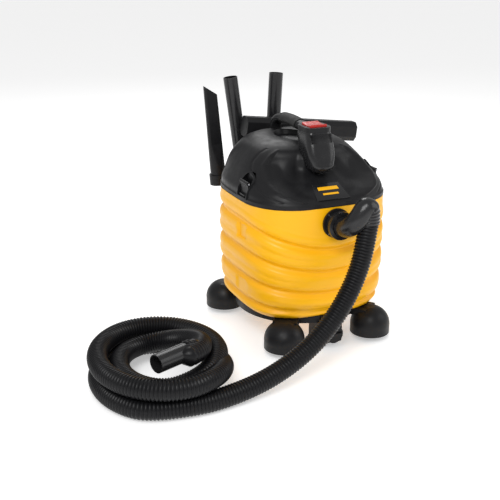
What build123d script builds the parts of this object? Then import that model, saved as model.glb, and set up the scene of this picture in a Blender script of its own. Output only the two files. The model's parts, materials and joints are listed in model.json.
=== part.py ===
from build123d import *
import math
import os

# Wheeled wet and dry vacuum. Millimetres, +Z up, hose inlet towards -Y.
# The origin is on the drum's axis, at the level of the floor that the casters stand on.

# Drum
drumBase = 80
rimHeight = 364
drumWall = 3
flatHalf = 60            # half of the straight stretch on each side of the rounded square
# half widths of the drum from its base to its rim, with a groove wherever they dip
drumProfile = [(80, 168), (98, 184), (106, 184), (113, 178), (120, 186), (159, 188), (167, 181), (175, 188),
               (224, 189), (232, 182), (240, 189), (288, 189), (296, 182), (304, 189), (352, 187), (364, 187)]

# Lid, as (height, half width, half depth, corner radius, centre along Y)
lidBase = 366
lidProfile = [(366, 187, 187, 127, 0), (384, 185, 184, 125, 1), (404, 177, 176, 118, 8), (442, 156, 146, 92, 34),
              (470, 132, 122, 74, 46), (484, 112, 104, 62, 54), (492, 90, 84, 52, 60)]
lidWall = 3.5

# Motor, fan and filter, all on one vertical axis
motorY = 24
shaftRadius = 4
runningGap = 0.05
cageRadius = 46
floatRadius = 26

# Feet and casters
footRadius = 50
frontFoot = (121, 166)
rearFoot = (150, 150)
footTop = 82
footGap = 0.2
wheelRadius = 18
wheelHalfWidth = 7
casterTrail = 8
axleRadius = 2.5
stemRadius = 4

# Inlet, elbow and hose
inletHeight = 326
hoseDiameter = 48
hoseRadius = hoseDiameter / 2
hoseRoute = [(42, -268, 344), (31, -272, 279), (8, -279, 218), (-28, -289, 163), (-74, -302, 117), (-129, -317, 80),
             (-194, -332, 52), (-266, -347, 33.5), (-349, -361, 25.2), (-423, -368, 24.5)]
coilCentre = (-452, -206)
coilOuter = (166, 196)
coilTurnWidth = 84
coilHeight = 98
cuffMouth = (-500, -330, 119.5)
cuffTail = (-424, -300, 119.5)
cuffRadius = 21

# Tools at the back
wandRadius = 19
wandBore = 16.2
socketBore = 17.2
socketDepth = 42
wandFloor = 150
wandY = 262
wandLength = 466
leftWandX = -18
leftWandLean = -8
rightWandX = 28
rightWandLean = 3
creviceX = -131
creviceY = 232
creviceFloor = 338
creviceLean = -5
nozzleLength = 336
nozzleCentre = (103, 213, 468)
nozzleTilt = 7


def roundedAt(height, halfX, halfY, radius, centreY=0.0):
    return Pos(0, centreY, height) * RectangleRounded(2 * halfX, 2 * halfY, radius)


def drumSolid(inset, floor, top):
    rows = [(max(z, floor), half) for z, half in drumProfile]
    rows[-1] = (top, rows[-1][1])
    faces = [roundedAt(z, half - inset, half - inset, half - flatHalf - inset) for z, half in rows]
    return loft(faces, ruled=True)


def lidSolid(inset, top):
    rows = lidProfile[:-1] + [(top,) + lidProfile[-1][1:]]
    return loft([roundedAt(z, hx - inset, hy - inset, r - inset, cy) for z, hx, hy, r, cy in rows], ruled=True)


def disc(radius, low, high, x=0.0, y=0.0):
    return Pos(x, y, (low + high) / 2) * Cylinder(radius, high - low)


def ring(outer, inner, low, high, x=0.0, y=0.0):
    return disc(outer, low, high, x, y) - disc(inner, low - 1, high + 1, x, y)


def block(low, high):
    size = [b - a for a, b in zip(low, high)]
    centre = [(a + b) / 2 for a, b in zip(low, high)]
    return Pos(*centre) * Box(*size)


def lyingDisc(radius, front, back, x, z):
    """A cylinder whose axis runs along Y, from front to back."""
    return Pos(x, (front + back) / 2, z) * Rot(90, 0, 0) * Cylinder(radius, back - front)


def rodAlong(radius, start, end):
    plane = Plane(origin=start, z_dir=Vector(*end) - Vector(*start))
    length = (Vector(*end) - Vector(*start)).length
    return extrude(plane * Circle(radius), length)


parts = {}
drumOuter = drumSolid(0, drumBase, rimHeight)
lidOuter = lidSolid(0, lidProfile[-1][0])

# ---------------------------------------------------------------- feet and casters
footPlaces = {"front_left": (-frontFoot[0], -frontFoot[1]), "front_right": (frontFoot[0], -frontFoot[1]),
              "rear_left": (-rearFoot[0], rearFoot[1]), "rear_right": (rearFoot[0], rearFoot[1])}


def domeSolid(inset):
    radius = footRadius - inset
    top = footTop - inset
    low = 15 if inset == 0 else 10
    outline = Polyline((0, low), (radius, low), (radius, 32))
    crown = ThreePointArc((radius, 32), (radius * 0.79, 66 - inset), (radius * 0.25, top))
    closing = Polyline((radius * 0.25, top), (0, top), (0, low))
    return revolve(make_face(Plane.XZ * (outline + crown + closing)), Axis.Z)


def casterFoot(x, y):
    shell = domeSolid(0) - domeSolid(3.5)
    boss = disc(10, 52, footTop - 2) - disc(stemRadius + runningGap, 51, 74)
    return Pos(x, y, 0) * (shell + boss) - drumOuter


def casterFork(x, y):
    plate = block((-12, -casterTrail - 9, 43), (12, 12, 47))
    legs = block((-12, -casterTrail - 7, 12), (-9, -casterTrail + 7, 43))
    legs += block((9, -casterTrail - 7, 12), (12, -casterTrail + 7, 43))
    stem = disc(stemRadius, 47, 72)
    collar = disc(8, 47, 51.4)
    hole = Pos(0, -casterTrail, wheelRadius) * Rot(0, 90, 0) * Cylinder(axleRadius, 40)
    return Pos(x, y, 0) * (plate + legs + stem + collar - hole)


def casterWheel(x, y):
    tyre = Cylinder(wheelRadius, 2 * wheelHalfWidth)
    tyre = chamfer(tyre.edges().filter_by(GeomType.CIRCLE), 1.5)
    tyre -= Cylinder(axleRadius + runningGap, 40)
    return Pos(x, y - casterTrail, wheelRadius) * Rot(0, 90, 0) * tyre


def casterAxle(x, y):
    return Pos(x, y - casterTrail, wheelRadius) * Rot(0, 90, 0) * Cylinder(axleRadius, 25)


for side, (footX, footY) in footPlaces.items():
    parts["caster_foot_" + side] = casterFoot(footX, footY)
    parts["caster_fork_" + side] = casterFork(footX, footY)
    parts["caster_wheel_" + side] = casterWheel(footX, footY)
    parts["caster_axle_" + side] = casterAxle(footX, footY)

# ---------------------------------------------------------------- base ring and drain
baseLow = 62
drainY = -134
baseRing = ring(166, 118, baseLow, drumBase)
screws = []
for footX, footY in footPlaces.values():
    angle = math.degrees(math.atan2(footY, footX))
    reach = math.hypot(footX, footY)
    baseRing += Rot(0, 0, angle) * block((120, -30, baseLow), (reach, 30, drumBase))
    screws.append(Rot(0, 0, angle) * (disc(6, baseLow - 4, baseLow, 142) + disc(3, baseLow, 76, 142)))
for footX, footY in footPlaces.values():
    baseRing -= Pos(footX, footY, 0) * domeSolid(-footGap)
    baseRing -= disc(footRadius - 4, 0, baseLow + 1, footX, footY)
baseRing -= drumOuter
for screw in screws:
    baseRing -= screw
drainHousing = block((-30, -190, 14), (30, -120, baseLow)) + block((-22, -170, baseLow), (22, -120, drumBase))
drainHousing = fillet(drainHousing.edges().filter_by(Axis.Z).group_by(Axis.Y)[0], 9)
drainPassage = lyingDisc(12, -200, drainY, 0, 40) + disc(12, 40, drumBase + 10, 0, drainY)
drainHousing -= drainPassage + lyingDisc(16, -200, -184, 0, 40)
parts["base_ring"] = baseRing - block((-22.4, -170.4, 60), (22.4, -110, drumBase + 1))
parts["foot_screws"] = Compound(screws)
parts["drain_housing"] = drainHousing
drainCap = lyingDisc(23, -202, -190.4, 0, 40) + lyingDisc(11.7, -190.4, -170, 0, 40)
drainCap += block((-19, -208, 36), (19, -202, 44))
parts["drain_cap"] = drainCap
parts["drain_seal"] = lyingDisc(15.8, -189.6, -184, 0, 40) - lyingDisc(12.1, -190, -183, 0, 40)

# ---------------------------------------------------------------- drum and inlet
wallY = -187
wallX = 187
drum = drumOuter - drumSolid(drumWall, drumBase + drumWall, rimHeight + 5)
drum -= lyingDisc(25, wallY - 20, wallY + 20, 0, inletHeight)
drum -= disc(12, drumBase - 5, drumBase + 10, 0, drainY)
gripPocket = block((-200, -71, 272), (-wallX + 1.4, -35, 308))
parts["drum"] = drum - gripPocket

collar = lyingDisc(36, wallY - 8, wallY - 2.2, 0, inletHeight)
collar += lyingDisc(30, wallY - 24, wallY - 8, 0, inletHeight)
collar += lyingDisc(24.8, wallY - 2.2, wallY + 12, 0, inletHeight)
collar -= lyingDisc(21, wallY - 30, wallY + 20, 0, inletHeight)
parts["inlet_collar"] = collar - drumOuter.intersect(lyingDisc(60, wallY - 10, wallY + 3.5, 0, inletHeight)
                                                     - lyingDisc(24.9, wallY - 11, wallY + 5, 0, inletHeight))
deflector = lyingDisc(30, wallY + 13, wallY + 17, 0, inletHeight)
deflector -= lyingDisc(20, wallY, wallY + 30, 0, inletHeight)
deflector += block((-30, wallY + 17, inletHeight - 12), (30, wallY + 62, inletHeight + 32))
deflector -= block((-27, wallY + 17, inletHeight - 15), (27, wallY + 59, inletHeight + 28))
parts["inlet_deflector"] = deflector
inletScrews = [lyingDisc(1.8, wallY - 10, wallY - 2, 32.5 * math.cos(a), inletHeight + 32.5 * math.sin(a))
               for a in [math.radians(45 + 90 * k) for k in range(4)]]
parts["inlet_screws"] = Compound(inletScrews)
for screw in inletScrews:
    parts["inlet_collar"] -= screw

# ---------------------------------------------------------------- elbow, hose, coil and cuff
elbowStart = (0, wallY - 25, inletHeight)
elbowRadius = 25
elbowWall = 4
elbowPoints = [elbowStart, (0, wallY - 51, inletHeight), (30, -264, 368), (42, -268, 368), hoseRoute[0]]


def pipeSolid(points, radius):
    """Straight pipes through the points, with a ball at each bend."""
    solid = rodAlong(radius, points[0], points[1])
    for start, end in zip(points[1:], points[2:]):
        solid += Pos(*start) * Sphere(radius)
        solid += rodAlong(radius, start, end)
    return solid


def stretched(points, extra):
    """The same points, with both ends moved out by extra."""
    first = Vector(*points[0]) + (Vector(*points[0]) - Vector(*points[1])).normalized() * extra
    last = Vector(*points[-1]) + (Vector(*points[-1]) - Vector(*points[-2])).normalized() * extra
    return [tuple(first)] + list(points[1:-1]) + [tuple(last)]


elbow = pipeSolid(elbowPoints, elbowRadius) - pipeSolid(stretched(elbowPoints, 1), elbowRadius - elbowWall)
parts["hose_elbow"] = elbow
parts["hose_lock_nut"] = (lyingDisc(34, wallY - 34, wallY - 24.4, 0, inletHeight)
                          - lyingDisc(elbowRadius + 0.4, wallY - 40, wallY - 20, 0, inletHeight))


def cordRadii(points):
    radii = []
    for before, here, after in zip(points, points[1:], points[2:]):
        runIn = Vector(*here) - Vector(*before)
        runOut = Vector(*after) - Vector(*here)
        turn = math.radians(runIn.get_angle(runOut))
        radii.append(0.45 * min(runIn.length, runOut.length) / math.tan(turn / 2))
    return radii


hoseRadii = cordRadii(hoseRoute)
hosePath = FilletPolyline(*hoseRoute, radius=hoseRadii)
hoseTube = sweep(Plane(origin=hoseRoute[0], z_dir=hosePath % 0) * Circle(hoseRadius), hosePath)
print("hose radii", [round(r) for r in hoseRadii])
sectionArea = math.pi * hoseRadius ** 2
print("hose volume", round(hoseTube.volume), "section x length", round(sectionArea * hosePath.length))

coil = Ellipse(*coilOuter) - Ellipse(coilOuter[0] - coilTurnWidth, coilOuter[1] - coilTurnWidth)
coil = Pos(coilCentre[0], coilCentre[1], 0.5) * extrude(coil, coilHeight - 0.5)
parts["hose_coil"] = coil
parts["hose_tube"] = hoseTube - coil
cuff = rodAlong(cuffRadius, cuffMouth, cuffTail) - rodAlong(cuffRadius - 2.5, cuffMouth, cuffTail)
parts["hose_cuff"] = cuff

# ---------------------------------------------------------------- lid and its covers
lidInner = lidSolid(lidWall, lidProfile[-1][0] - lidWall)
wellFloor = 476
wellHalf = (38, 80)
wellY = 50


def handleWell(outset):
    floor = wellFloor - outset
    return Pos(0, wellY, floor) * extrude(Ellipse(wellHalf[0] + outset, wellHalf[1] + outset), 60)


lid = lidOuter - handleWell(0) - (lidInner - handleWell(lidWall))
ventRows = [block((-34, 150, 400 + 9 * k), (34, 210, 404 + 9 * k)) for k in range(4)]
lid -= block((-38, 150, 395), (38, 210, 437))
glandPlace = Pos(178, 70, 392) * Rot(0, 90, 0)
lid -= glandPlace * Cylinder(9, 60)
parts["lid"] = lid
seal = roundedAt(rimHeight + 0.3, 185, 185, 125) - roundedAt(rimHeight + 0.3, 182, 182, 122)
parts["lid_seal"] = extrude(seal, lidBase - rimHeight - 0.3)
deck = extrude(roundedAt(lidBase + 1, 181.8, 181.8, 121.8), 4) - disc(30, 360, 380, 0, motorY)
parts["motor_deck"] = deck
grille = block((-37.6, 160, 395.4), (37.6, 176, 436.6)) - block((-34, 150, 398), (34, 172, 434))
for row in ventRows:
    grille -= row
parts["exhaust_grille"] = grille - (block((-60, 140, 380), (60, 220, 450)) - lidOuter)
gland = Cylinder(8.8, 22) + Pos(0, 0, 13) * Cylinder(12, 6)
parts["cord_gland"] = glandPlace * (gland - Cylinder(4.5, 60))

# ---------------------------------------------------------------- nose, switch and handle
noseBody = loft([Pos(0, -104, 400) * RectangleRounded(70, 80, 30), Pos(0, -84, 470) * RectangleRounded(78, 92, 28),
                 Pos(0, -66, 526) * RectangleRounded(66, 74, 20)], ruled=True)
parts["nose_cover"] = noseBody - lidOuter
bezel = extrude(Pos(0, -66, 526) * RectangleRounded(66, 74, 20), 11)
bezel -= block((-23, -92, 529), (23, -42, 560))
rockerPlace = Pos(0, -67, 536) * Rot(0, 90, 0)
parts["switch_bezel"] = bezel - rockerPlace * Cylinder(2 + runningGap, 52)
rocker = block((-22, -90.5, 531.5), (22, -43.5, 543)) - Pos(0, -67, 592) * Rot(0, 90, 0) * Cylinder(52.5, 60)
parts["switch_rocker"] = rocker + rockerPlace * Cylinder(2, 50)

handleHalf = 17
handleSide = [(-28.6, 510), (-28.6, 535), (40, 541), (120, 537), (158, 520), (172, 480), (134, 480), (126, 500),
              (104, 510), (40, 515), (-14, 510)]
handleFace = make_face(Plane.YZ * Polyline(*handleSide, close=True))
handle = extrude(handleFace, handleHalf, both=True)
handle = fillet(handle.edges().filter_by(Axis.X).sort_by(Axis.Z)[-3:], 6)
gripZone = block((-30, 10, 500), (30, 100, 560))
gripCore = block((-11, 10, 521), (11, 100, 530))
parts["handle"] = handle - lidOuter - (gripZone - gripCore)
parts["handle_grip"] = handle - gripCore - (block((-40, -60, 480), (40, 200, 580)) - gripZone)

# ---------------------------------------------------------------- latches
latchY = -50
latchPivot = (176, 410)      # distance from the middle, and height
latchHalf = 22
pocketLow = 376
pocketBack = 160


def archPrism(half, low, crown, inner, outer):
    """A prism along X with a half-round top, standing on a flat edge."""
    prism = block((inner, latchY - half, low), (outer, latchY + half, crown - half))
    return prism + Pos((inner + outer) / 2, latchY, crown - half) * Rot(0, 90, 0) * Cylinder(half, outer - inner)


def latchPocket():
    """A liner round the recess that the latch sits in, closed at the back."""
    liner = archPrism(latchHalf + 4.5, pocketLow - 3, 434.5, pocketBack - 3, 200)
    return (liner - archPrism(latchHalf + 1.5, pocketLow, 431.5, pocketBack, 201)).intersect(lidOuter)


def latchPaddle():
    x, z = latchPivot
    plate = block((x - 3, latchY - latchHalf, pocketLow + 2), (x + 1, latchY + latchHalf, z))
    plate += Pos(x, latchY, z) * Rot(90, 0, 0) * Cylinder(4.5, 2 * latchHalf)
    plate += block((x - 3, latchY - 14, pocketLow + 2), (x + 7, latchY + 14, pocketLow + 6))
    return plate - Pos(x, latchY, z) * Rot(90, 0, 0) * Cylinder(2 + runningGap, 80)


def latchPin():
    return Pos(latchPivot[0], latchY, latchPivot[1]) * Rot(90, 0, 0) * Cylinder(2, 2 * latchHalf + 8)


pocketShape = archPrism(latchHalf + 4.5, pocketLow - 3, 434.5, pocketBack - 3, 200)
pocketHole = Pos(latchPivot[0], latchY, latchPivot[1]) * Rot(90, 0, 0) * Cylinder(2, 90)
pocketLiner = Compound(latchPocket().solids()) - pocketHole
parts["latch_right"] = latchPaddle()
parts["latch_left"] = mirror(latchPaddle(), Plane.YZ)
parts["lid"] = parts["lid"] - pocketShape - mirror(pocketShape, Plane.YZ)
parts["latch_pockets"] = Compound(pocketLiner.solids() + mirror(pocketLiner, Plane.YZ).solids())
parts["latch_pins"] = Compound([latchPin(), mirror(latchPin(), Plane.YZ)])

# ---------------------------------------------------------------- motor, fan, filter and float
fanHousing = ring(84, 80, 371, 402, 0, motorY) + ring(84, 8, 402, 405, 0, motorY)
fanHousing += ring(15, 11, 405, 412, 0, motorY)
parts["fan_housing"] = fanHousing - block((-12, motorY + 60, 378), (12, motorY + 90, 396))
impeller = disc(72, 376, 379, 0, motorY) + disc(12, 379, 396, 0, motorY)
for k in range(9):
    impeller += Pos(0, motorY, 0) * Rot(0, 0, 40 * k) * block((11, -1, 379), (70, 1, 394))
impeller -= disc(shaftRadius, 370, 400, 0, motorY)
parts["impeller"] = impeller
parts["rotor"] = disc(shaftRadius, 374, 470, 0, motorY) + disc(22, 416, 452, 0, motorY)
parts["motor_stator"] = ring(44, 23, 414, 454, 0, motorY)
bearings = [ring(11, shaftRadius + runningGap, low, low + 7, 0, motorY) for low in (405, 460)]
parts["motor_bearings"] = Compound(bearings)
cover = ring(52, 44, 405, 456, 0, motorY) + ring(52, 11, 456, 468, 0, motorY) - disc(40, 455, 460, 0, motorY)
parts["motor_cover"] = cover
coverScrews = [disc(2, 452, 470, 47 * math.cos(a), motorY + 47 * math.sin(a))
               for a in [math.radians(60 + 120 * k) for k in range(3)]]
parts["cover_screws"] = Compound(coverScrews)
for screw in coverScrews:
    parts["motor_cover"] -= screw

cage = ring(cageRadius, cageRadius - 3, 262, 365.6, 0, motorY) + disc(cageRadius, 258, 262, 0, motorY)
cage += ring(60, 20, 362, 366.6, 0, motorY)
for k in range(8):
    cage -= Pos(0, motorY, 0) * Rot(0, 0, 45 * k + 10) * block((35, -9, 272), (60, 9, 350))
parts["filter_cage"] = cage
parts["float_ball"] = Pos(0, motorY, 292.5) * Sphere(floatRadius)
pleats = ring(86, 47, 246, 358, 0, motorY) - ring(200, 82, 252, 352, 0, motorY)
parts["filter_cartridge"] = pleats
filterCap = disc(60, 240, 245.6, 0, motorY) + disc(14, 226, 240, 0, motorY)
parts["filter_cap"] = filterCap + disc(8, 245.6, 258, 0, motorY)

# ---------------------------------------------------------------- tool holder and tools


def leaning(shape, x, y, z, lean):
    return Location((x, y, z), (0, lean, 0)) * shape


wandCups = [(leftWandX, leftWandLean), (rightWandX, rightWandLean)]
holder = block((-30, 186, 158), (50, 244, 170)) + block((-60, 186, 322), (60, 244, 334))
holder += block((-60, 186, 158), (60, 196, 334)) + block((50, 189.5, 322), (106, 197, 334))
holder += block((94, 189.5, 322), (106, 197, 434)) + block((94, 189.5, 428), (106, 232, 434))
for wandX, lean in wandCups:
    holder += leaning(disc(wandRadius + 3.5, -6, 30), wandX, wandY, wandFloor, lean)
    holder += leaning(disc(wandRadius + 3.5, 172, 188), wandX, wandY, wandFloor, lean)
holder += leaning(disc(24, -6, 22), creviceX, creviceY, creviceFloor, creviceLean)
holder += block((creviceX, 189.5, 334), (-50, 214, 346)) + block((-60, 189.5, 320), (-50, 196, 346))
for wandX, lean in wandCups:
    holder -= leaning(disc(wandRadius + 0.4, 0, 300), wandX, wandY, wandFloor, lean)
holder -= leaning(disc(20.4, 0, 60), creviceX, creviceY, creviceFloor, creviceLean)
parts["tool_holder"] = holder - drumOuter


def wand():
    tube = disc(wandRadius, 0, wandLength)
    tube -= disc(wandBore, -1, wandLength + 1)
    tube -= disc(socketBore, wandLength - socketDepth, wandLength + 1)
    return tube


parts["wand_left"] = leaning(wand(), leftWandX, wandY, wandFloor + 0.4, leftWandLean)
parts["wand_right"] = leaning(wand(), rightWandX, wandY, wandFloor + 0.4, rightWandLean)


def creviceTool():
    socket = disc(20, 0, 48)
    blade = loft([Pos(0, 0, 48) * RectangleRounded(39.9, 39.9, 19.9), Pos(0, 0, 104) * RectangleRounded(38, 18, 6),
                  Pos(0, 0, 262) * RectangleRounded(34, 14, 5)], ruled=True)
    hollow = loft([Pos(0, 0, 48) * RectangleRounded(34.9, 34.9, 17.4), Pos(0, 0, 104) * RectangleRounded(33, 13, 4),
                   Pos(0, 0, 263) * RectangleRounded(29, 9, 3)], ruled=True)
    tool = socket + blade - disc(17.4, -1, 48.01) - hollow
    tip = Pos(-17, 0, 262) * Rot(0, 38, 0) * Pos(0, 0, 20) * Box(120, 60, 40)
    return tool - tip


parts["crevice_tool"] = leaning(creviceTool(), creviceX, creviceY, creviceFloor + 0.4, creviceLean)

nozzleSide = [(-24, -14), (-14, -27), (14, -27), (24, -14), (24, 14), (12, 26), (-12, 26), (-24, 14)]
nozzleBody = extrude(make_face(Plane.YZ * Polyline(*nozzleSide, close=True)), nozzleLength / 2, both=True)
nozzleBody -= block((-nozzleLength / 2 + 4, -11, -30), (nozzleLength / 2 - 4, 11, -8))
nozzleNeck = rodAlong(20, (60, 14, 0), (60, 52, -8)) - rodAlong(16.2, (60, 24.1, -2), (60, 53, -8.2))
nozzle = nozzleBody + nozzleNeck
parts["floor_nozzle"] = Location(nozzleCentre, (0, nozzleTilt, 0)) * nozzle

os.makedirs("parts", exist_ok=True)
for name, shape in parts.items():
    export_step(Compound(shape.solids()), "parts/" + name + ".step")
print(len(parts), "nodes")
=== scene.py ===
import json
import math

import bmesh
import bpy
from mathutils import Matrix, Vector


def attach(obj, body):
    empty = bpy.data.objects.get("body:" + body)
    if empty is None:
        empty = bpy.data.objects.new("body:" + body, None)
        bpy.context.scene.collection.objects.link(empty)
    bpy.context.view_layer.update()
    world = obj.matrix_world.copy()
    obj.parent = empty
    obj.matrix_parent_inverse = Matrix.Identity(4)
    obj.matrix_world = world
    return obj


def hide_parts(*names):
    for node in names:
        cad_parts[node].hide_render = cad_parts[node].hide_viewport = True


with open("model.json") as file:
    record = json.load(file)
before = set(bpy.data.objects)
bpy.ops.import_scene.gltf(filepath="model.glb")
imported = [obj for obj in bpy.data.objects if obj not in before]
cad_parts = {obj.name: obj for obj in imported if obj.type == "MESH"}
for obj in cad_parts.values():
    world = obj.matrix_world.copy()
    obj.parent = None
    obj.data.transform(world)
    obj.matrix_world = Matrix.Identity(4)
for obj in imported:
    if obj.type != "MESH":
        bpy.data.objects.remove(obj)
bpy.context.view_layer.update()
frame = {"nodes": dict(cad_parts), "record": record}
mm = 0.001


def finishMesh(bm, name, body, slotName, replaced=(), sharpAngle=40):
    bmesh.ops.remove_doubles(bm, verts=bm.verts, dist=0.00002)
    bmesh.ops.recalc_face_normals(bm, faces=bm.faces)
    mesh = bpy.data.meshes.new(name)
    bm.to_mesh(mesh)
    bm.free()
    for face in mesh.polygons:
        face.use_smooth = True
    mesh.set_sharp_from_angle(angle=math.radians(sharpAngle))
    piece = bpy.data.objects.new(name, mesh)
    bpy.context.scene.collection.objects.link(piece)
    if body:
        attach(piece, body)
        piece.data.materials.append(finishes[slotName])
    if replaced:
        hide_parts(*replaced)
    return piece


def ringStack(places, segments, fillFirst=False, fillLast=False):
    # a circle is extruded once for each place; a place gives a point for each angle round the ring
    bm = bmesh.new()
    bmesh.ops.create_circle(bm, cap_ends=False, segments=segments, radius=1)
    turn = bm.verts.layers.float.new("turn")
    for vert in bm.verts:
        vert[turn] = math.atan2(vert.co.y, vert.co.x)
        vert.co = places[0](vert[turn])
    edges = list(bm.edges)
    if fillFirst:
        bmesh.ops.edgeloop_fill(bm, edges=edges)
    for place in places[1:]:
        made = bmesh.ops.extrude_edge_only(bm, edges=edges)["geom"]
        fresh = {g for g in made if isinstance(g, bmesh.types.BMVert)}
        for vert in fresh:
            vert.co = place(vert[turn])
        edges = [g for g in made if isinstance(g, bmesh.types.BMEdge) and all(v in fresh for v in g.verts)]
    if fillLast:
        bmesh.ops.edgeloop_fill(bm, edges=edges)
    return bm


def roundSquare(halfX, halfY, power, centreY, height):
    def place(angle):
        c, s = math.cos(angle), math.sin(angle)
        reach = (abs(c) ** power + abs(s) ** power) ** (-1 / power)
        return Vector((c * reach * halfX, centreY + s * reach * halfY, height)) * mm
    return place


def blendRows(rows, count):
    # evenly spaced rows on a smooth curve through the given ones
    out = []
    last = len(rows) - 1
    for step in range(count + 1):
        t = step / count * last
        i = min(int(t), last - 1)
        u = t - i
        before, here, after, beyond = rows[max(i - 1, 0)], rows[i], rows[i + 1], rows[min(i + 2, last)]
        row = []
        for p, a, b, q in zip(before, here, after, beyond):
            m0, m1 = (b - p) / 2, (q - a) / 2
            row.append((2 * u ** 3 - 3 * u ** 2 + 1) * a + (u ** 3 - 2 * u ** 2 + u) * m0
                       + (-2 * u ** 3 + 3 * u ** 2) * b + (u ** 3 - u ** 2) * m1)
        out.append(row)
    return out


def softBox(low, high, rounding, segments=3):
    bm = bmesh.new()
    bmesh.ops.create_cube(bm, size=1)
    size = [b - a for a, b in zip(low, high)]
    centre = [(a + b) / 2 for a, b in zip(low, high)]
    bmesh.ops.scale(bm, vec=Vector(size) * mm, verts=bm.verts)
    bmesh.ops.translate(bm, vec=Vector(centre) * mm, verts=bm.verts)
    bmesh.ops.bevel(bm, geom=bm.edges, offset=rounding * mm, segments=segments, profile=0.5, affect="EDGES",
                    material=-1)
    return bm


def followLine(line):
    # a frame for each point of a line, turned as little as possible from one to the next
    frames = []
    side = None
    for i, here in enumerate(line):
        ahead = (line[min(i + 1, len(line) - 1)] - line[max(i - 1, 0)]).normalized()
        if side is None:
            side = ahead.orthogonal().normalized()
        side = (side - ahead * side.dot(ahead)).normalized()
        frames.append((here, side, ahead.cross(side)))
    return frames


def tubeAlong(line, radiusAt, segments, fill=False):
    places = []
    travelled = 0.0
    for i, (here, side, over) in enumerate(followLine(line)):
        if i:
            travelled += (line[i] - line[i - 1]).length
        radius = radiusAt(travelled)

        def place(angle, here=here, side=side, over=over, radius=radius):
            return here + (side * math.cos(angle) + over * math.sin(angle)) * radius
        places.append(place)
    return ringStack(places, segments, fill, fill)


def smoothLine(name, points, spacing):
    # the points are control points of one open curve; what comes back are points along it, evenly spaced
    curve = bpy.data.curves.new(name, "CURVE")
    curve.dimensions = "3D"
    curve.resolution_u = 24
    spline = curve.splines.new("NURBS")
    spline.points.add(len(points) - 1)
    for knot, point in zip(spline.points, points):
        knot.co = (*[c * mm for c in point], 1)
    spline.order_u = 3
    spline.use_endpoint_u = True
    holder = bpy.data.objects.new(name, curve)
    mesh = bpy.data.meshes.new_from_object(holder)
    raw = [v.co.copy() for v in mesh.vertices]
    bpy.data.objects.remove(holder)
    total = sum((b - a).length for a, b in zip(raw, raw[1:]))
    count = round(total / spacing)
    line, i, gone = [raw[0]], 0, 0.0
    for step in range(1, count + 1):
        goal = total * step / count
        while i < len(raw) - 2 and gone + (raw[i + 1] - raw[i]).length < goal:
            gone += (raw[i + 1] - raw[i]).length
            i += 1
        span = (raw[i + 1] - raw[i]).length
        line.append(raw[i].lerp(raw[i + 1], min((goal - gone) / span, 1)))
    return line, total


def grainGroup():
    group = bpy.data.node_groups.new("mouldGrain", "ShaderNodeTree")
    for label, kind, value in (("Fine", "NodeSocketFloat", 900), ("Broad", "NodeSocketFloat", 14)):
        group.interface.new_socket(label, in_out="INPUT", socket_type=kind).default_value = value
    for label in ("Height", "Patch", "Dust"):
        group.interface.new_socket(label, in_out="OUTPUT", socket_type="NodeSocketFloat")
    nodes, links = group.nodes, group.links
    inputs, outputs = nodes.new("NodeGroupInput"), nodes.new("NodeGroupOutput")
    place = nodes.new("ShaderNodeTexCoord")
    fine, broad, dust = (nodes.new("ShaderNodeTexNoise") for k in range(3))
    for noise, detail in ((fine, 3), (broad, 4), (dust, 6)):
        links.new(place.outputs["Object"], noise.inputs["Vector"])
        noise.inputs["Detail"].default_value = detail
    dust.inputs["Scale"].default_value = 60
    links.new(inputs.outputs["Fine"], fine.inputs["Scale"])
    links.new(inputs.outputs["Broad"], broad.inputs["Scale"])
    links.new(fine.outputs["Fac"], outputs.inputs["Height"])
    links.new(broad.outputs["Fac"], outputs.inputs["Patch"])
    links.new(dust.outputs["Fac"], outputs.inputs["Dust"])
    return group


def plastic(name, look):
    material = bpy.data.materials.new(name)
    material.use_nodes = True
    nodes, links = material.node_tree.nodes, material.node_tree.links
    shader = nodes["Principled BSDF"]
    grain = nodes.new("ShaderNodeGroup")
    grain.node_tree = grainTree
    grain.inputs["Fine"].default_value = look.get("fine", 900)
    grain.inputs["Broad"].default_value = look.get("broad", 14)
    tint = nodes.new("ShaderNodeMix")
    tint.data_type = "RGBA"
    tint.inputs["A"].default_value = (*look["colour"], 1)
    tint.inputs["B"].default_value = (*look["second"], 1)
    links.new(grain.outputs["Patch"], tint.inputs["Factor"])
    links.new(tint.outputs["Result"], shader.inputs["Base Color"])
    rough = nodes.new("ShaderNodeMapRange")
    rough.inputs["To Min"].default_value = look["rough"][0]
    rough.inputs["To Max"].default_value = look["rough"][1]
    rough.inputs["From Min"].default_value = 0.3
    rough.inputs["From Max"].default_value = 0.7
    links.new(grain.outputs["Dust"], rough.inputs["Value"])
    links.new(rough.outputs["Result"], shader.inputs["Roughness"])
    bump = nodes.new("ShaderNodeBump")
    bump.inputs["Strength"].default_value = look.get("bump", 0.1)
    bump.inputs["Distance"].default_value = look.get("depth", 0.0002)
    links.new(grain.outputs["Height"], bump.inputs["Height"])
    links.new(bump.outputs["Normal"], shader.inputs["Normal"])
    shader.inputs["Metallic"].default_value = look.get("metal", 0)
    shader.inputs["Specular IOR Level"].default_value = look.get("specular", 0.4)
    shader.inputs["Coat Weight"].default_value = look.get("coat", 0)
    shader.inputs["Coat Roughness"].default_value = 0.15
    return material


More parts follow.
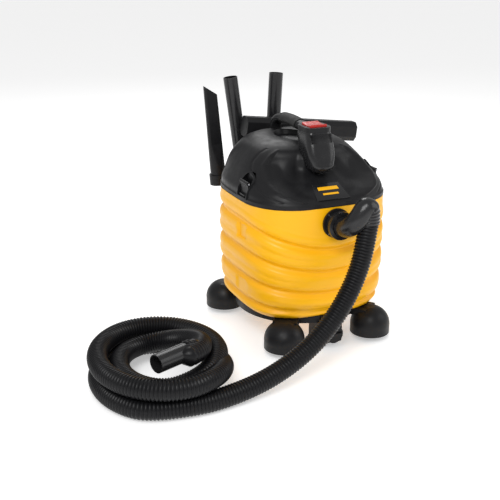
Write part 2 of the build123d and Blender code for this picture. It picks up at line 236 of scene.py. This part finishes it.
grainTree = grainGroup()
looks = {
    "yellow_plastic": {"colour": (0.98, 0.5, 0.0), "second": (0.95, 0.46, 0.0), "rough": (0.36, 0.48), "broad": 5,
                       "bump": 0.06, "coat": 0.05},
    "black_plastic": {"colour": (0.007, 0.007, 0.008), "second": (0.012, 0.012, 0.013), "rough": (0.34, 0.48),
                      "specular": 0.22, "bump": 0.25, "fine": 1400},
    "black_gloss": {"colour": (0.01, 0.01, 0.011), "second": (0.016, 0.016, 0.017), "rough": (0.18, 0.3),
                    "specular": 0.35, "coat": 0.1},
    "hose_black": {"colour": (0.005, 0.005, 0.006), "second": (0.009, 0.009, 0.01), "rough": (0.28, 0.42),
                   "specular": 0.2},
    "red_plastic": {"colour": (0.62, 0.02, 0.015), "second": (0.5, 0.015, 0.01), "rough": (0.25, 0.35), "coat": 0.3},
    "steel": {"colour": (0.6, 0.6, 0.62), "second": (0.5, 0.5, 0.53), "rough": (0.25, 0.45), "metal": 1},
    "rubber_black": {"colour": (0.009, 0.009, 0.009), "second": (0.016, 0.016, 0.016), "rough": (0.5, 0.65),
                     "specular": 0.25},
    "wheel_grey": {"colour": (0.02, 0.02, 0.02), "second": (0.035, 0.035, 0.035), "rough": (0.45, 0.6)},
    "filter_paper": {"colour": (0.8, 0.78, 0.7), "second": (0.7, 0.67, 0.58), "rough": (0.8, 0.95), "bump": 0.3},
    "copper_wound": {"colour": (0.4, 0.16, 0.07), "second": (0.25, 0.1, 0.05), "rough": (0.3, 0.5), "metal": 0.6},
    "grip_rubber": {"colour": (0.018, 0.018, 0.018), "second": (0.03, 0.03, 0.03), "rough": (0.55, 0.7), "bump": 0.5,
                    "fine": 500},
}
finishes = {name: plastic(name, look) for name, look in looks.items()}
for entry in frame["record"]["subparts"]:
    node = frame["nodes"].get(entry["node"])
    if node:
        node.data.materials.clear()
        node.data.materials.append(finishes[entry["material_slot"]])
print("finishes made")

cameraSet = {"azimuth": -27, "elevation": 17, "distance": 2.3, "orbit": (0, 0, 0.3), "aim": (-0.140, 0, 0.216),
             "lens": 64.4}


def makeCamera():
    around, up = math.radians(cameraSet["azimuth"]), math.radians(cameraSet["elevation"])
    offset = Vector((math.sin(around) * math.cos(up), -math.cos(around) * math.cos(up), math.sin(up)))
    data = bpy.data.cameras.new("camera")
    data.lens = cameraSet["lens"]
    camera = bpy.data.objects.new("camera", data)
    camera.location = Vector(cameraSet["orbit"]) + offset * cameraSet["distance"]
    camera.rotation_euler = (Vector(cameraSet["aim"]) - camera.location).to_track_quat("-Z", "Y").to_euler()
    bpy.context.scene.collection.objects.link(camera)
    bpy.context.scene.camera = camera


makeCamera()

hoseSet = {
    "route": [(42, -268, 344), (31, -272, 279), (8, -279, 218), (-28, -289, 163), (-74, -302, 117), (-129, -317, 80),
              (-194, -332, 52), (-266, -347, 33.5), (-349, -361, 25.2), (-423, -368, 24.5)],
    "diameter": 48, "ribPitch": 7.6, "ribDepth": 2.6, "ringsPerRib": 4, "segments": 22,
    "coilCentre": (-452, -206), "outer": (141, 171), "inner": (92, 120), "pointsPerTurn": 16,
    "turns": 2.93, "floorHeight": 24.5, "tail": [(-392, -287, 119.5), (-424, -300, 119.5)],
}


def ease(low, high, value):
    t = min(max((value - low) / (high - low), 0), 1)
    return t * t * (3 - 2 * t)


def coilPoints():
    points = []
    centreX, centreY = hoseSet["coilCentre"]
    (outerX, outerY), (innerX, innerY) = hoseSet["outer"], hoseSet["inner"]
    count = round(hoseSet["turns"] * hoseSet["pointsPerTurn"])
    for k in range(1, count + 1):
        turns = k / hoseSet["pointsPerTurn"]
        angle = math.radians(-100) - 2 * math.pi * turns
        inward = ease(1.68, 1.98, turns)
        a = outerX + (innerX - outerX) * inward
        b = outerY + (innerY - outerY) * inward
        # the loops lie on the floor, climb on to the first one, drop inside it and rise to the cuff
        height = hoseSet["floorHeight"] + 49 * ease(0.6, 0.92, turns)
        height += 68 * ease(2.45, 2.9, turns) - 24 * ease(1.72, 2.05, turns)
        points.append((centreX + a * math.cos(angle), centreY + b * math.sin(angle), height))
    return points


def makeHose():
    pitch = hoseSet["ribPitch"] * mm
    points = hoseSet["route"] + coilPoints() + hoseSet["tail"]
    line, length = smoothLine("hoseLine", points, pitch / hoseSet["ringsPerRib"])
    outer = hoseSet["diameter"] / 2 * mm
    depth = hoseSet["ribDepth"] * mm

    def radius(along):
        return outer - depth * (0.5 - 0.5 * math.cos(2 * math.pi * along / pitch)) ** 1.4

    bm = tubeAlong(line, radius, hoseSet["segments"], fill=True)
    hose = finishMesh(bm, "corrugated_hose", "root", "hose_black", ("hose_tube", "hose_coil"), 60)
    tuple(line[0])
    [tuple(p) for p in line]
    print("hose length", round(length, 3))


makeHose()

drumSet = {
    "base": 80, "rim": 364, "power": 3.1, "segments": 320, "rows": 130,
    "grooves": [(316, 60), (243, 44), (176, 32), (117, 20)],   # height at the sides, and how far each dips at the front
    "grooveHalf": 13, "grooveDepth": 9,
    # centre along Y, half width, low and high edge, depth: the grip pocket and the flat panel low on the left side
    "patches": [(-53, 24, 270, 310, 7), (-60, 42, 110, 168, 6)],
    "outline": [(80, 160), (84, 168), (98, 180), (120, 184), (200, 188), (300, 188), (350, 186.5), (364, 186.5)],
}


def outlineAt(height):
    rows = drumSet["outline"]
    for (lowZ, lowR), (highZ, highR) in zip(rows, rows[1:]):
        if height <= highZ:
            return lowR + (highR - lowR) * (height - lowZ) / (highZ - lowZ)
    return rows[-1][1]


def makeDrum():
    low, high = drumSet["base"], drumSet["rim"]

    def rowPlace(height, inset=0.0):
        def place(angle):
            front = abs((angle + math.pi / 2 + math.pi) % (2 * math.pi) - math.pi)
            bend = math.cos(1.125 * front) ** 2 if front < math.radians(80) else 0
            radius = outlineAt(height) - inset
            for level, dip in drumSet["grooves"]:
                away = abs(height - (level - dip * bend)) / drumSet["grooveHalf"]
                if away < 1:
                    radius -= drumSet["grooveDepth"] * (0.5 + 0.5 * math.cos(math.pi * away)) ** 0.8
                elif away < 2.4:
                    radius += 1.6 * math.sin(math.pi * (away - 1) / 1.4)
            point = roundSquare(radius, radius, drumSet["power"], 0, height)(angle)
            for centreY, half, lowZ, highZ, depth in drumSet["patches"]:
                inside = min(half - abs(point.y / mm - centreY), height - lowZ, highZ - height)
                if point.x < 0 and inside > 0:
                    point.x = max(point.x, (depth * ease(0, 5, inside) - 188) * mm)
            return point
        return place

    count = drumSet["rows"]
    places = [roundSquare(10, 10, 2, 0, low), roundSquare(120, 120, 2.6, 0, low), roundSquare(152, 152, 3, 0, low)]
    places += [rowPlace(low + (high - low) * k / count) for k in range(count + 1)]
    places += [roundSquare(183.5, 183.5, 3.1, 0, high)]
    places += [roundSquare(180, 180, 3.1, 0, z) for z in (high, high - 60)]
    places += [roundSquare(outlineAt(z) - 12, outlineAt(z) - 12, 3.1, 0, z) for z in (250, 150, 92)]
    places += [roundSquare(60, 60, 2, 0, 84)]
    bm = ringStack(places, drumSet["segments"], True, True)
    finishMesh(bm, "drum_skin", "root", "yellow_plastic", ("drum",), 50)


makeDrum()
print("drum made")

lidSet = {
    # height, half width, half depth, squareness, centre along Y
    "dome": [(366, 187, 187, 3.1, 0), (374, 187, 187, 3.1, 0), (378, 184.5, 184.5, 3.1, 0), (390, 183.5, 182, 3.05, 3),
             (404, 177, 176, 3, 8), (442, 156, 146, 2.9, 34), (470, 132, 122, 2.8, 46), (484, 112, 104, 2.7, 54),
             (492, 90, 84, 2.5, 60)],
    # height, and how far round from the front the ridge beside the nose stands, in degrees
    "ridge": [(374, 20), (383, 26), (398, 40), (418, 54), (450, 66), (470, 66), (492, 60)],
    "dish": 42, "well": 11, "lip": 2.4, "crease": 2,
    "latchY": -50, "archHalf": 25, "archLow": 375, "archCrown": 433,
    "wellTop": (42, 80), "segments": 400,
}


def stepped(rows, value):
    for (lowAt, low), (highAt, high) in zip(rows, rows[1:]):
        if value <= highAt:
            return low + (high - low) * max(value - lowAt, 0) / (highAt - lowAt)
    return rows[-1][1]


def archDistance(y, z):
    # negative inside the arch that the latch sits in
    half = lidSet["archHalf"]
    spring = lidSet["archCrown"] - half
    across = y - lidSet["latchY"]
    if z > spring:
        return math.hypot(across, z - spring) - half
    return max(abs(across) - half, lidSet["archLow"] - z)


def lidPlace(halfX, halfY, power, centreY, height):
    plain = roundSquare(halfX, halfY, power, centreY, height)
    ridge = stepped(lidSet["ridge"], height)

    def place(angle):
        point = plain(angle)
        fromFront = abs(math.degrees(math.atan2(point.x, -point.y)))
        inside = ridge - fromFront
        fall = min(max((height - 370) / 40, 0), 1) * (1 - ease(425, 470, height))
        sink = lidSet["dish"] * fall * ease(0, 14, inside) * (1 - 0.45 * ease(24, 46, fromFront))
        beside = ease(0, 5, inside) * ease(20, 34, fromFront)
        sink += lidSet["well"] * beside * ease(392, 408, height) * (1 - ease(462, 480, height))
        if 380 < height < 480:
            sink -= lidSet["lip"] * math.exp(-(inside / 2.2) ** 2)
            sink += lidSet["crease"] * math.exp(-((inside + 15) / 1.6) ** 2)
        flat = Vector((point.x, point.y - centreY * mm, 0))
        return point - flat.normalized() * (sink * mm)
    return place


def makeLid():
    rows = blendRows(lidSet["dome"][1:], 84)
    places = [roundSquare(183.5, 183.5, 3.1, 0, 366), roundSquare(187, 187, 3.1, 0, 366)]
    places += [lidPlace(hx, hy, n, cy, z) for z, hx, hy, n, cy in rows]
    wx, wy = lidSet["wellTop"]
    places += [roundSquare(wx + 10, wy - 6, 2.2, 54, 492.5), roundSquare(wx + 1, wy - 8, 2, 52, 492),
               roundSquare(wx - 1, wy - 9, 2, 52, 490), roundSquare(wx - 4, wy - 12, 2, 52, 479),
               roundSquare(wx - 8, wy - 16, 2, 52, 477), roundSquare(4, 8, 2, 52, 477)]
    bm = ringStack(places, lidSet["segments"], False, True)
    # the skin is cut out inside each latch arch, with the nearest points drawn on to the arch itself
    inner = set()
    for vert in bm.verts:
        y, z = vert.co.y / mm, vert.co.z / mm
        if abs(vert.co.x) < 0.14 or z < 367:
            continue
        away = archDistance(y, z)
        if abs(away) < 1.8:
            slopeY = (archDistance(y + 0.1, z) - archDistance(y - 0.1, z)) / 0.2
            slopeZ = (archDistance(y, z + 0.1) - archDistance(y, z - 0.1)) / 0.2
            vert.co.y -= away * slopeY * mm
            vert.co.z -= away * slopeZ * mm
            away = 0
        if away <= 0:
            inner.add(vert)
    hidden = [face for face in bm.faces if all(vert in inner for vert in face.verts)]
    bmesh.ops.delete(bm, geom=hidden, context="FACES")
    finishMesh(bm, "lid_shell", "head", "black_plastic", ("lid",), 35)


def makeBadge():
    # a plain panel on the front slope with a few bars in place of lettering
    turn = math.radians(29)
    ahead, over = Vector((0, math.cos(turn), math.sin(turn))), Vector((0, -math.sin(turn), math.cos(turn)))
    centre = Vector((0, -150.5, 392)) * mm

    def slab(name, low, high, rounding, slotName, taper):
        bm = softBox(low, high, rounding)
        for vert in bm.verts:
            u, v, w = vert.co.x * (1 - taper * vert.co.y / 0.03), vert.co.y, vert.co.z
            vert.co = centre + Vector((u, 0, 0)) + ahead * v + over * w
        finishMesh(bm, name, "head", slotName)

    slab("badge_panel", (-40, -28, -2), (40, 28, 3.2), 1.2, "black_gloss", 0.12)
    slab("badge_bar_wide", (-28, 4, 2), (28, 15, 3.9), 0.4, "yellow_plastic", 0.12)
    slab("badge_bar_narrow", (-20, -12, 2), (20, -6, 3.9), 0.4, "yellow_plastic", 0.12)


makeLid()
makeBadge()
print("lid made")

handleSet = {
    "line": [(0, 152, 482), (0, 152, 506), (0, 128, 524), (0, 70, 529), (0, 10, 526), (0, -32, 523)],
    "half": (16, 11.5), "grip": (8, 102), "gripRibs": 15,
}


def makeHandle():
    line = smoothLine("handleLine", handleSet["line"], 0.003)[0]
    halfX, halfZ = (h * mm for h in handleSet["half"])

    def sleeve(points, grow, ribs=0):
        places = []
        for i, here in enumerate(points):
            ahead = (points[min(i + 1, len(points) - 1)] - points[max(i - 1, 0)]).normalized()
            over = ahead.cross(Vector((1, 0, 0))).normalized()
            rib = 0.0007 * abs(math.sin(math.pi * ribs * i / len(points))) if ribs else 0
            swell = 0.85 + 0.15 * math.cos(i / len(points) * math.pi * 2)

            def place(angle, here=here, over=over, rib=rib, swell=swell):
                c, s = math.cos(angle), math.sin(angle)
                return here + Vector((1, 0, 0)) * (halfX + grow + rib) * c + over * ((halfZ + grow + rib) * s)
            places.append(place)
        return ringStack(places, 40, True, True)

    finishMesh(sleeve(line, 0), "carry_handle", "head", "black_plastic", ("handle",))
    low, high = (g * mm for g in handleSet["grip"])
    grip = smoothLine("gripLine", handleSet["line"], 0.0009)[0]
    grip = [p for p in grip if low < p.y < high and p.z > 0.516]
    finishMesh(sleeve(grip, 0.0016, handleSet["gripRibs"]), "grip_sleeve", "head", "grip_rubber", ("handle_grip",))


noseSet = {
    # height, half width, half depth, squareness, centre along Y
    "rows": [(424, 10, 14, 2.2, -92), (432, 22, 24, 2.4, -97), (443, 31, 33, 2.6, -98.5), (456, 35, 37, 3, -92),
             (470, 37, 38.5, 3.4, -86), (486, 37, 38.5, 3.8, -80), (502, 35.5, 38.5, 4, -74),
             (518, 33.5, 37.5, 4.5, -67), (526, 31.5, 35.5, 4.5, -66)],
    "ribs": 8, "ribLow": 502, "ribStep": 2.6,
}


def makeNose():
    places = [roundSquare(hx, hy, n, cy, z) for z, hx, hy, n, cy in blendRows(noseSet["rows"], 40)]
    finishMesh(ringStack(places, 96, True, True), "nose_shell", "head", "black_gloss", ("nose_cover",))
    for k in range(noseSet["ribs"]):
        height = noseSet["ribLow"] + noseSet["ribStep"] * k
        rib = softBox((-29, -112 + 1.1 * k, height), (29, -60, height + 1.4), 0.5, 2)
        finishMesh(rib, "nose_rib_" + str(k), "head", "black_plastic")


def makeRocker():
    bm = softBox((-22, -90.5, 531.5), (22, -43.5, 543), 1.6, 3)
    bmesh.ops.subdivide_edges(bm, edges=[e for e in bm.edges if e.calc_length() > 0.03], cuts=12, use_grid_fill=True)
    for vert in bm.verts:
        if vert.co.z > 0.5395:
            along = (vert.co.y + 0.067) / 0.0235
            vert.co.z -= 0.0034 * (1 - along * along)
    finishMesh(bm, "rocker_cap", "rocker", "red_plastic", ("switch_rocker",))


makeHandle()
makeNose()
makeRocker()
print("handle, nose and switch made")

elbowSet = {
    "line": [(0, -213, 326), (0, -244, 327), (12, -268, 352), (30, -270, 382), (43, -268, 378), (42, -268, 342)],
    "radius": 24.5, "ribDepth": 1.6, "ribPitch": 7.6, "spacing": 1.6, "segments": 48,
}


def makeElbow():
    line, length = smoothLine("elbowLine", elbowSet["line"], elbowSet["spacing"] * mm)
    pitch = elbowSet["ribPitch"] * mm

    def radius(along):
        ribs = elbowSet["ribDepth"] * (0.5 + 0.5 * math.cos(2 * math.pi * along / pitch))
        return (elbowSet["radius"] + ribs * ease(length - 50 * mm, length - 40 * mm, along)) * mm

    bm = tubeAlong(line, radius, elbowSet["segments"], fill=True)
    finishMesh(bm, "elbow_shell", "root", "black_gloss", ("hose_elbow",), 50)


makeElbow()

def makeStage():
    bm = bmesh.new()
    bmesh.ops.create_grid(bm, x_segments=2, y_segments=2, size=40)
    floor = finishMesh(bm, "floor", None, None)
    paint = bpy.data.materials.new("floorPaint")
    paint.use_nodes = True
    shader = paint.node_tree.nodes["Principled BSDF"]
    shader.inputs["Base Color"].default_value = (0.9, 0.9, 0.9, 1)
    shader.inputs["Roughness"].default_value = 0.75
    shader.inputs["Emission Color"].default_value = (1, 1, 1, 1)
    shader.inputs["Emission Strength"].default_value = 0.42
    floor.data.materials.append(paint)
    scene = bpy.context.scene
    scene.view_settings.view_transform = "Standard"
    world = bpy.data.worlds.new("studio")
    scene.world = world
    world.use_nodes = True
    nodes, links = world.node_tree.nodes, world.node_tree.links
    light = nodes["Background"]
    light.inputs["Color"].default_value = (1, 1, 1, 1)
    light.inputs["Strength"].default_value = 0.5
    plain = nodes.new("ShaderNodeBackground")
    plain.inputs["Color"].default_value = (0.97, 0.97, 0.97, 1)
    path, choose = nodes.new("ShaderNodeLightPath"), nodes.new("ShaderNodeMixShader")
    links.new(path.outputs["Is Camera Ray"], choose.inputs["Fac"])
    links.new(light.outputs["Background"], choose.inputs[1])
    links.new(plain.outputs["Background"], choose.inputs[2])
    links.new(choose.outputs["Shader"], nodes["World Output"].inputs["Surface"])
    # place, width and power of each lamp
    lamps = {"key": ((-1.6, -2.2, 2.6), 1.6, 62), "fill": ((2.4, -1.2, 1.6), 1.8, 16),
             "back": ((0.6, 2.4, 2.4), 1.6, 26)}
    for name, (place, size, power) in lamps.items():
        data = bpy.data.lights.new(name, "AREA")
        data.size = size
        data.energy = power
        lamp = bpy.data.objects.new(name, data)
        lamp.location = place
        lamp.rotation_euler = (Vector((0, 0, 0.25)) - lamp.location).to_track_quat("-Z", "Y").to_euler()
        scene.collection.objects.link(lamp)


makeStage()
